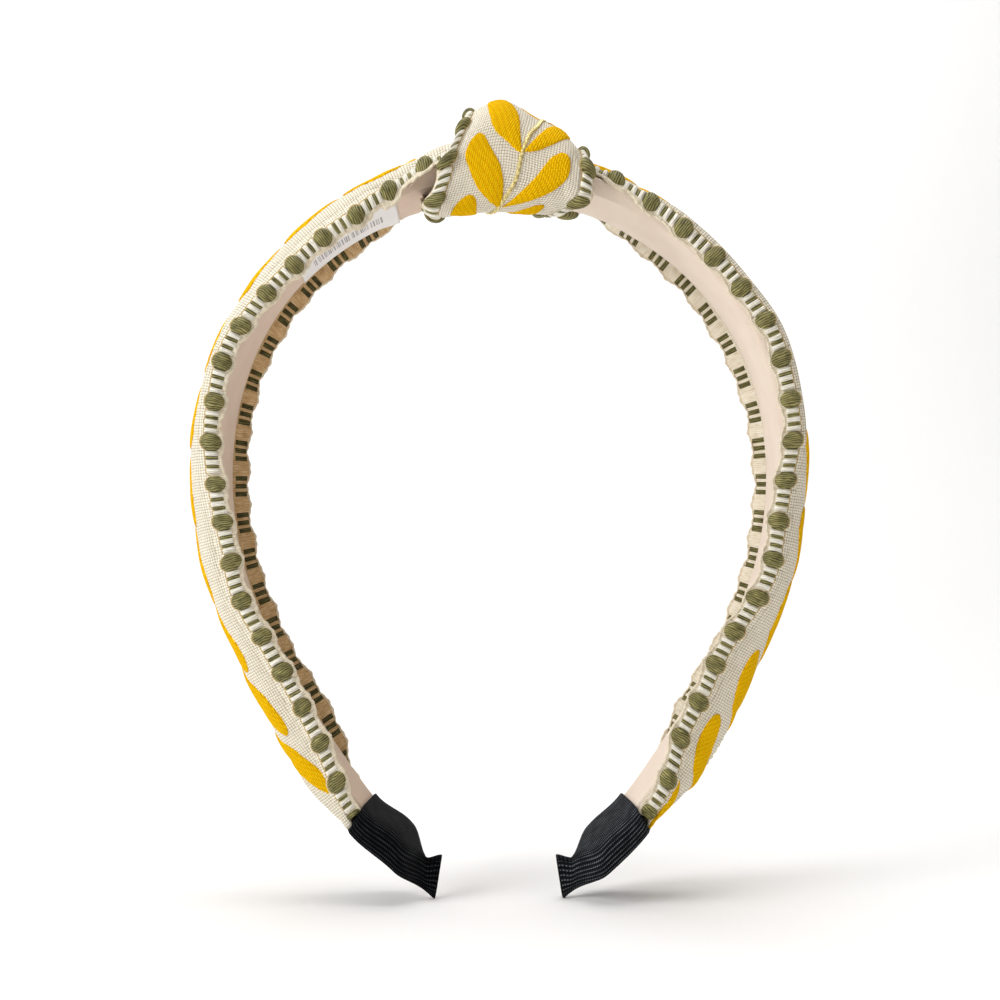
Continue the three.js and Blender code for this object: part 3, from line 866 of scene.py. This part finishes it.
def twisted_cord(name, centre, normal, distance, radius, pitch=1.5, sides=14):
    """A flattened two-ply cord along a line of points, its section turning once for each pitch."""
    tangent = unit(np.gradient(centre, axis=0))
    across = unit(np.cross(tangent, normal))
    up = np.cross(across, tangent)
    around = np.linspace(0, 2 * np.pi, sides, endpoint=False)
    ply = radius * (0.45 + 0.55 * np.abs(np.cos(around[None, :] - np.pi * distance[:, None] / pitch)))
    ply = ply * (0.3 + 0.7 * np.abs(np.sin(np.pi * distance[:, None] / pitch)) ** 0.7)
    sideways, upward = ply * np.cos(around), 0.6 * ply * np.sin(around)
    points = centre[:, None] + sideways[..., None] * across[:, None] + upward[..., None] * up[:, None]
    return ring_mesh(name, points, in_threads(distance[:, None], around * radius), [STEM])


def stem_on(surface, name, rows, columns, distance, radius):
    """The gold stem along a line on the surface."""
    centre = surface.at(rows, columns, STEM_LIFT)
    normal = surface.at(rows, columns, 1.0) - surface.at(rows, columns, 0.0)
    return twisted_cord(name, centre, normal, distance, radius)


def make_stem(side, surface):
    lengths = np.arange(8.0, 183.5, 0.2)
    wander = 0.012 * np.sin(lengths * 0.7)
    flexes(stem_on(surface, f"stem_{side}", lengths, wander, lengths, 0.6), side, "leaf_cloth")


# ---- beaded edge

def edge_elements(start, end, first_bead, pitch, rng):
    """(start, end, kind) of the raised floats: an olive bead, then white and olive bars in turn."""
    elements = []
    bars_length = pitch - BEAD_LENGTH
    widths = np.array(BAR_SHARES) / sum(BAR_SHARES) * bars_length
    for k in range(-2, int((end - start) / pitch) + 3):
        middle = first_bead + k * pitch + rng.normal(0, 0.12)
        grow = BEAD_LENGTH * rng.normal(0, 0.03)
        begin = middle - BEAD_LENGTH / 2 - grow / 2
        elements.append((begin, middle + BEAD_LENGTH / 2 + grow / 2, "bead"))
        run = middle + BEAD_LENGTH / 2 + grow / 2
        stretch = (middle + pitch - BEAD_LENGTH / 2 - run) / bars_length
        for number, width in enumerate(widths):
            width = width * stretch
            elements.append((run, run + width, "white" if number % 2 == 0 else "olive"))
            run += width
    within = [(max(begin, start), min(finish, end), kind) for begin, finish, kind in elements]
    return [element for element in within if element[1] - element[0] > SHORTEST_FLOAT]


EDGE_MATERIALS = (OLIVE, WHITE, LIP, REVERSE, JOINT_SHADE, UNDERSIDE, GROUND)
SHADED_EDGE_MATERIALS = (OLIVE, WHITE, LIP, SHADED_REVERSE, JOINT_SHADE, DARK_UNDERSIDE, GROUND)
OLIVE_INDEX, WHITE_INDEX, LIP_INDEX, REVERSE_INDEX, JOINT_SHADE_INDEX, UNDERSIDE_INDEX, GROUND_INDEX = range(7)
FLOAT_COLOURS = {
    "bead": (OLIVE_INDEX, REVERSE_INDEX),
    "white": (WHITE_INDEX, UNDERSIDE_INDEX),
    "olive": (OLIVE_INDEX, REVERSE_INDEX),
}
OUTER_COLUMNS = 14
LIP_COLUMNS = 5
INNER_COLUMNS = 10


def edge_stations(elements, rng):
    """For each station: length, height, half-width, reverse height, and the kind of float it is in."""
    rows, kinds = [], []
    for begin, end, kind in elements:
        shape = FLOATS[kind]
        x = np.sin(np.linspace(-0.48, 0.48, shape["stations"]) * np.pi)
        rounded = domed(x, *FLOAT_DOME)
        puff = shape["puff"] * rng.normal(1, 0.06) * rounded
        if kind == "bead":
            puff = puff - 0.12 * rounded * np.abs(np.cos(np.pi * x * (end - begin) / 2 / STRAND_PITCH))
        half = shape["half_width"] * rng.normal(1, 0.04)
        half = half * (mix(0.3, 1.0, rounded**1.3) if kind == "bead" else mix(0.93, 1.0, rounded))
        rows.append(np.stack([mix(begin, end, (x + 1) / 2), puff, half, shape["reverse"] * rounded], -1))
        kinds += [kind] * len(x)
    return (*np.concatenate(rows).T, kinds)


def edge_mesh(name, placed, span, first_bead, pitch, seed, width=1.0, materials=EDGE_MATERIALS):
    """The beaded edge. placed(length, into, raised) turns edge distances into points."""
    rng = np.random.default_rng(seed)
    lengths, puffs, halves, reverse, kinds = edge_stations(edge_elements(*span, first_bead, pitch, rng), rng)
    near_bead = 0.5 + 0.5 * np.cos(2 * np.pi * (lengths - first_bead) / pitch)
    start = np.full(lengths.shape, EDGE_TUCK)
    middle = EDGE_MIDDLE + 0.12 * np.sin(lengths * 0.37 + seed) + 0.1 * near_bead
    end = middle + mix(1.75, 2.4, near_bead) + 0.08 * np.sin(lengths * 1.7)

    v = np.sin(np.linspace(-0.5, 0.5, OUTER_COLUMNS - 3) * np.pi)
    float_foot = np.maximum(middle - halves - 0.3, -1.3)
    outer_into = np.column_stack([start, float_foot, middle[:, None] + halves[:, None] * v, end])
    crown = puffs[:, None] * domed(v, *FLOAT_DOME)
    outer_raised = EDGE_BASE + np.column_stack([-1.2 + 0 * start, -0.2 + 0 * start, crown, 0 * end])

    turn = np.linspace(0.1, 0.9, LIP_COLUMNS) * np.pi
    lip_reach = 0.36 + 0.1 * np.sin(lengths * 3.1)[:, None]
    lip_into = end[:, None] + 0.08 + lip_reach * np.sin(turn)
    lip_raised = EDGE_BASE / 2 + 0.42 * np.cos(turn) + 0 * lip_into

    w = np.linspace(1, -1, INNER_COLUMNS - 2)
    inner_into = np.column_stack([end - 0.1, middle[:, None] + 0.5 + REVERSE_HALF_WIDTH * w, start])
    inner_raised = np.column_stack([0 * end, -reverse[:, None] * domed(w, 4, 0.6), -1.1 + 0 * start])

    into = np.concatenate([outer_into, lip_into, inner_into], axis=1) * width
    raised = np.concatenate([outer_raised, lip_raised, inner_raised], axis=1) * mix(1.0, width, 0.5)
    grid = np.broadcast_to(lengths[:, None], into.shape)
    rows = []
    for k, kind in enumerate(kinds[:-1]):
        same = kind == kinds[k + 1] and abs(lengths[k + 1] - lengths[k]) < 2
        outer, inner = FLOAT_COLOURS[kind] if same else (LIP_INDEX, UNDERSIDE_INDEX)
        # Next to the ground comes the narrow tan line of painted shade in the gap.
        outside = [GROUND_INDEX, JOINT_SHADE_INDEX] + [outer] * (OUTER_COLUMNS - 4)
        inside = [REVERSE_INDEX] + [inner] * (INNER_COLUMNS - 3) + [REVERSE_INDEX] * 2
        rows.append(outside + [LIP_INDEX] * (LIP_COLUMNS + 2) + inside)
    return ring_mesh(name, placed(grid, into, raised), in_threads(grid, into), materials, np.array(rows))


def make_arm_edge(side, face):
    """Edge of the ribbon from knot to cap: sloping beside the knot, then hanging inward past the hoop."""
    at_back = face == "back"
    lip_spread = 0.0 if at_back else 1.2

    def placed(length, into, raised):
        y, out = fold_point(side, face, length)
        tilt = edge_tilt(side, face, length)
        tuck = smooth(178, 184, length)
        into = into + lip_spread * smooth(3.4, 4.3, into) * (1 - smooth(20, 40, length))
        raised = raised * mix(1.0, 0.5, tuck)
        y = y + FACES[face] * (into * np.sin(tilt) + raised * np.cos(tilt) - 1.1 * tuck)
        out = out - into * np.cos(tilt) * mix(1.0, 0.8, tuck) + raised * np.sin(tilt)
        return place(side, length, y, out)

    pitch = BEAD_PITCH + (0.04 if side == "left" else -0.03)
    seed = 20 + 2 * (side == "right") + at_back
    # The left arm's back edge takes the darker and tan copies: painted shade on the inner face of that arm.
    materials = SHADED_EDGE_MATERIALS if at_back and side == "left" else EDGE_MATERIALS
    first_bead = FIRST_BEAD + 3.1 * at_back
    name = f"beaded_edge_{face}_{side}"
    piece = edge_mesh(name, placed, (7.0, CAP_START + 0.5), first_bead, pitch, seed, materials=materials)
    flexes(piece, side, "border_thread", f"border_{face}_{side}", f"border_{face}_crown_{side}")


# ---- knot

def knot_point(across, turn, inset=0.0, beyond=0.0):
    """Knot surface: across -1 to 1 from its left to its right edge, turn 0 underneath, pi/2 in front.

    The underside rests on the hoop and dips at the front, where the wrap goes round the beaded edges.
    """
    values = (np.asarray(v, float) for v in (across, turn, inset, beyond))
    across, turn, inset, beyond = np.broadcast_arrays(*values)
    rise = (1 - np.cos(turn)) / 2
    x = mix(through(KNOT_LEFT, rise) - beyond, through(KNOT_RIGHT, rise) + beyond, (across + 1) / 2)
    below, in_front = np.cos(turn) > 0, np.sin(turn) > 0
    side = np.abs(np.sin(turn))
    floor = hoop_line(np.abs(x))[1] + WRAP_UNDER_HOOP + inset + np.where(in_front, 0, BACK_LIFT * side**2)
    floor = np.where(in_front, mix(floor, KNOT_LIP + inset, smooth(0.0, 0.75, side)), floor)
    roof = through(KNOT_ROOF, x) - inset
    roundness = np.where(below, np.where(in_front, 0.6, 0.36), 0.75)
    y = -signed_power(np.sin(turn), roundness) * (KNOT_HALF_DEPTH - inset)
    return np.stack([x, y, mix(floor, roof, (1 - signed_power(np.cos(turn), roundness)) / 2)], -1)


def knot_surface(rows=145, columns=49):
    """Outer face of the wrap over one full turn from the middle of the underside, with soft creases."""
    turns = np.linspace(0, 2 * np.pi, rows)
    shares = np.linspace(-1, 1, columns)
    turn, across = np.meshgrid(turns, shares, indexing="ij")
    creases = (0.28 * np.sin(5.0 * across + 2.2 * turn) * np.abs(across) ** 1.5
               + 0.18 * np.sin(9.0 * across - 3.0 * turn + 1.0) * np.abs(across) ** 3)
    above = smooth(0.6, 1.3, turn) * smooth(0.6, 1.3, 2 * np.pi - turn)
    points = knot_point(across, turn, inset=-creases * above)
    surface = blown_out(Surface(turns, shares, points, flip=-1), SWELL, -1)
    surface.run = running(point_steps(points[:, columns // 2]))
    return surface


def make_knot_wrap(surface):
    points, normals = surface.points[:-1], surface.normals[:-1]
    inner = points - normals * WRAP_THICKNESS
    uv = in_threads(surface.run[:-1, None], surface.columns * WRAP_HALF_WIDTH)
    piece = shell_mesh("knot_wrap", points, inner, uv, GROUND, closed_rows=True)
    rides(piece, "crown", "leaf_cloth", "knot_wrap")


def make_knot_pattern(surface):
    """Leaf pairs and the gold stem round the wrap, with the stem drifting right as it climbs."""
    first = float(np.interp(math.radians(46), surface.rows, surface.run))

    def drift(along):
        turn = np.interp(along, surface.run, surface.rows)
        return -0.2 + 5.2 * ((1 - np.cos(turn)) / 2) ** 2

    def to_grid(along, across):
        wrapped = np.mod(along, surface.run[-1])
        turn = np.interp(wrapped, surface.run, surface.rows)
        return turn, (across + drift(wrapped)) / WRAP_HALF_WIDTH

    leaves = []
    for start, beside_stem, *shape in KNOT_FRONT_LEAVES:
        leaves.append(leaf_mesh(surface, to_grid, (first + start, beside_stem), *shape))
    for start in KNOT_BACK_LEAF_BASES:
        for flank in (-1, 1):
            base = (first + start, flank * LEAF_BESIDE_STEM)
            leaves.append(leaf_mesh(surface, to_grid, base, flank * 0.7, -0.3 * flank))
    rides(joined(leaves, "knot_leaves"), "crown", "leaf_cloth")

    along = np.arange(2.0, surface.run[-1] - 2.0, 0.2)
    turn, across = to_grid(along, np.zeros(along.shape))
    across = across + 0.008 * np.sin(along * 0.8)
    rides(stem_on(surface, "knot_stem", turn, across, along, 0.65), "crown", "leaf_cloth")


def make_knot_edge(side):
    """Beaded edge of the wrap, curling in beside the ribbon that enters the knot."""
    way = SIDES[side]
    turns = np.linspace(-0.6, 2 * np.pi - 0.6, 361)
    edge = knot_point(way, turns, inset=0.1)
    beside = knot_point(way, turns, inset=0.1, beyond=1.0)
    run = running(point_steps(edge))
    sideways = unit(beside - edge)
    normal = unit(np.cross(sideways, unit(np.gradient(edge, axis=0))) * way)
    width = 0.98 if side == "left" else 0.88

    def read(values, length):
        return np.stack([np.interp(length, run, values[:, k]) for k in range(3)], -1)

    def placed(length, into, raised):
        turn = np.interp(length, run, turns)
        under = np.clip(np.cos(turn), 0, 1) ** 2
        curl = 0.3 * into / width
        into = into * (1 - 0.36 * smooth(-0.2, 0.8, -np.cos(turn)))
        raised = raised * mix(1.0, 0.6, under)
        ahead = into * np.cos(curl / 2) + raised * np.sin(curl)
        rise = -into * np.sin(curl / 2) + raised * np.cos(curl) - 0.2
        return (read(edge, length) + read(sideways, length) * ahead[..., None]
                + read(normal, length) * rise[..., None])

    count = round(run[-1] / BEAD_PITCH)
    pitch = run[-1] / count
    first_bead = 0.6 if side == "left" else 3.0
    span = (0.02, run[-1] - 0.02)
    piece = edge_mesh(f"knot_edge_{side}", placed, span, first_bead, pitch, 40 + way, width)
    rides(piece, "crown", "border_thread", f"knot_border_{side}")


def make_knot_filling():
    """Gathered ribbon inside the knot, pleated where it shows in the two mouths."""
    turns = np.linspace(0, 2 * np.pi, 120, endpoint=False)
    shares = np.linspace(-1, 1, 41)
    share, turn = np.meshgrid(shares, turns, indexing="ij")
    flare = smooth(0.38, 0.65, (1 - np.cos(turn)) / 2)
    pleats = 0.5 * np.cos(11 * turn + 1.5 * share) * np.abs(share) ** 2
    crown = mix(0, 2.2, np.abs(share) ** 6)
    points = knot_point(share * mix(0.68, 0.93, flare), turn, inset=WRAP_THICKNESS + 0.5 + crown + pleats)
    floor = hoop_line(np.abs(points[..., 0]))[1] + CORE_TOP + 0.3
    points[..., 2] = np.maximum(points[..., 2], floor)
    piece = ring_mesh("knot_filling", points, in_threads(share * WRAP_HALF_WIDTH, turn * 16), [GROUND])
    rides(piece, "crown", "ribbon_cloth", "knot_filling")


# ---- end caps and label

def cap_outline(points=396):
    """Rounded rectangle as shares across (-1 to 1) and outward (0 to 1), with the rib height round it."""
    turn = np.linspace(0, 2 * np.pi, 4000, endpoint=False) + 0.01
    squareness = 0.5
    y = signed_power(np.cos(turn), squareness)
    share = (1 + signed_power(np.sin(turn), squareness)) / 2
    run = running(np.hypot(np.diff(y, append=y[:1]) * 9.0, np.diff(share, append=share[:1]) * 6.2))
    even = np.linspace(0, run[-1], points, endpoint=False)
    ring = [np.interp(even, run, np.append(values, values[0])) for values in (y, share)]
    rib_count = round(run[-1] / RIB_PITCH)
    ribs = np.abs(np.sin(np.pi * even / run[-1] * rib_count))
    return ring[0], ring[1], ribs * smooth(0.1, 0.25, ring[1]), even / run[-1] * rib_count * RIB_PITCH


def make_end_cap(side):
    """Grosgrain folded over the tip, pinched flat, with the cut end flaring inward as a small tail."""
    y, share_out, ribs, around = cap_outline()
    rings, along = [], []

    def add_ring(half_width, bottom, top, length, distance, rib_height=0.0):
        out = mix(bottom - 0 * ribs, top + rib_height * ribs, share_out)
        rings.append(place(side, length, (half_width + rib_height * ribs) * y, out))
        along.append(distance)

    for length in (HOOP_END, 196.0, 190.0, CAP_START + 0.6):
        add_ring(core_half_width(length) + 1.2, -0.6, 2.2, length + 0 * y, HOOP_END - length)
    add_ring(8.8, -1.1, 4.1, CAP_START + 0.15 + 2.0 * share_out, 16.0)
    for step in np.linspace(0, 1, 60):
        closing = smooth(0.55, 0.93, step)
        half_width = mix(9.2, 0.9, closing)
        bottom = -1.5 - 1.1 * smooth(0.05, 0.5, step) - 3.1 * smooth(0.9, 1.0, step)
        top = mix(4.6, 1.9, np.clip((step - 0.12) / 0.88, 0, 1) ** 1.6)
        inward = 1.1 * np.sin(np.pi * step) ** 2 if side == "left" else 0.0
        end = mix(204.1, 210.2, share_out)
        length = mix(CAP_START + 2.0 * share_out, end, step) + 0.35 * np.sin(share_out * 5.0 + y) * (1 - step)
        crease = -0.5 * closing * (1 - smooth(0.93, 1.0, step)) * np.cos(2 * np.pi * share_out)
        rib_height = 0.28 * smooth(0, 0.04, step)
        add_ring(half_width + crease, bottom - inward, top - inward, length, 16 + step * 23, rib_height)
    uv = in_threads(np.array(along)[:, None], around)
    piece = ring_mesh(f"end_cap_{side}", np.array(rings), uv, [GROSGRAIN[side]])
    rides(piece, f"{side}_arm", "cap_grosgrain", f"end_cap_{side}")


def make_label():
    """Price label stuck on the lining, its upper corner lifting a little."""
    lengths = np.arange(*LABEL_RUN, 0.75)
    y = np.linspace(-LABEL_HALF_WIDTH, LABEL_HALF_WIDTH, 23)
    length, across = np.meshgrid(lengths, y, indexing="ij")
    lift = 0.5 * smooth(30, 24, length) * smooth(2, 11, across)
    top = LINING_BOTTOM - 0.12 - lift + back_lift(length, across)
    upper, lower = place("left", length, across, top), place("left", length, across, top - 0.15)
    piece = shell_mesh("price_label", upper, lower, in_threads(length, across), PAPER)
    flexes(piece, "left", "label_paper", "price_label")


# ---- stage

def make_stage():
    """Pale floor that sweeps up into a backdrop."""
    floor_height = cad_low.z / MM - 1.0
    behind = np.concatenate([[-900.0, 500.0], 500 + 350 * np.sin(np.linspace(0.1, np.pi / 2, 12)), [850.0]])
    height = np.concatenate([[0.0, 0.0], 350 * (1 - np.cos(np.linspace(0.1, np.pi / 2, 12))), [1200.0]])
    x = np.linspace(-1400, 1400, 3)
    points = np.stack([np.stack([xi + 0 * behind, behind, height + floor_height], -1) for xi in x], 1)
    faces = numbered_grid(*points.shape[:2])[1]
    m = Material("pale_floor", 0.9, specular=0.1)
    along, across = m.threads()
    cloud = m.noise(along, across, 0.004, 0.004, 1.0)
    material = m.finish(m.ramp(cloud, (0.3, (0.93, 0.93, 0.93)), (0.7, (0.95, 0.95, 0.95))))
    uv = points[..., :2].reshape(-1, 2)
    floor = make_mesh("floor", points.reshape(-1, 3), uv, faces.tolist(), [material])


def add_light(name, position, target, size, power, colour=(1, 1, 1)):
    light = bpy.data.lights.new(name, "AREA")
    light.shape = "DISK"
    light.size = size
    light.energy = power
    light.color = colour
    lamp = new_object(name, light)
    lamp.location = position
    aim = np.array(target) - np.array(position)
    tilt = math.acos(-aim[2] / np.linalg.norm(aim))
    lamp.rotation_euler = (tilt, 0, math.atan2(aim[1], aim[0]) - math.pi / 2)


def make_lights():
    middle = (0, 0, -0.07)
    add_light("key", (-0.66, -0.4, 0.3), middle, 0.5, 4.7)
    add_light("fill", (0.5, -0.6, 0.0), middle, 0.7, 0.55, (1.0, 0.82, 0.64))
    add_light("top", (0.1, 0.1, 0.8), middle, 0.9, 1.0)
    add_light("backdrop", (0.0, 0.1, 0.9), (0, 0.8, 0.1), 0.9, 7.5)
    world = bpy.data.worlds.new("studio")
    world.use_nodes = True
    background = world.node_tree.nodes["Background"]
    background.inputs["Color"].default_value = (1, 0.98, 0.95, 1)
    background.inputs["Strength"].default_value = 0.28
    bpy.context.scene.world = world
    bpy.context.scene.view_settings.view_transform = "Standard"


def make_camera():
    """Straight in front, a little below the crown and looking slightly up."""
    camera = bpy.data.cameras.new("camera")
    camera.sensor_width = 36
    camera.lens = 50.2
    camera.clip_start = 0.01
    holder = new_object("camera", camera)
    holder.location = (-0.0034, -0.316, -0.0858)
    holder.rotation_euler = (math.radians(90 + 3.2), 0, math.radians(-0.66))
    bpy.context.scene.camera = holder


make_camera()
for side_name in SIDES:
    cloth = cloth_surface(side_name)
    make_hoop_strip(side_name)
    make_lining(side_name)
    make_ribbon(side_name, cloth)
    make_padding(side_name, cloth)
    make_leaves(side_name, cloth)
    make_stem(side_name, cloth)
    for face_name in FACES:
        make_arm_edge(side_name, face_name)
    make_end_cap(side_name)
    make_knot_edge(side_name)
wrap = knot_surface()
make_knot_wrap(wrap)
make_knot_pattern(wrap)
make_knot_filling()
make_label()
make_stage()
make_lights()
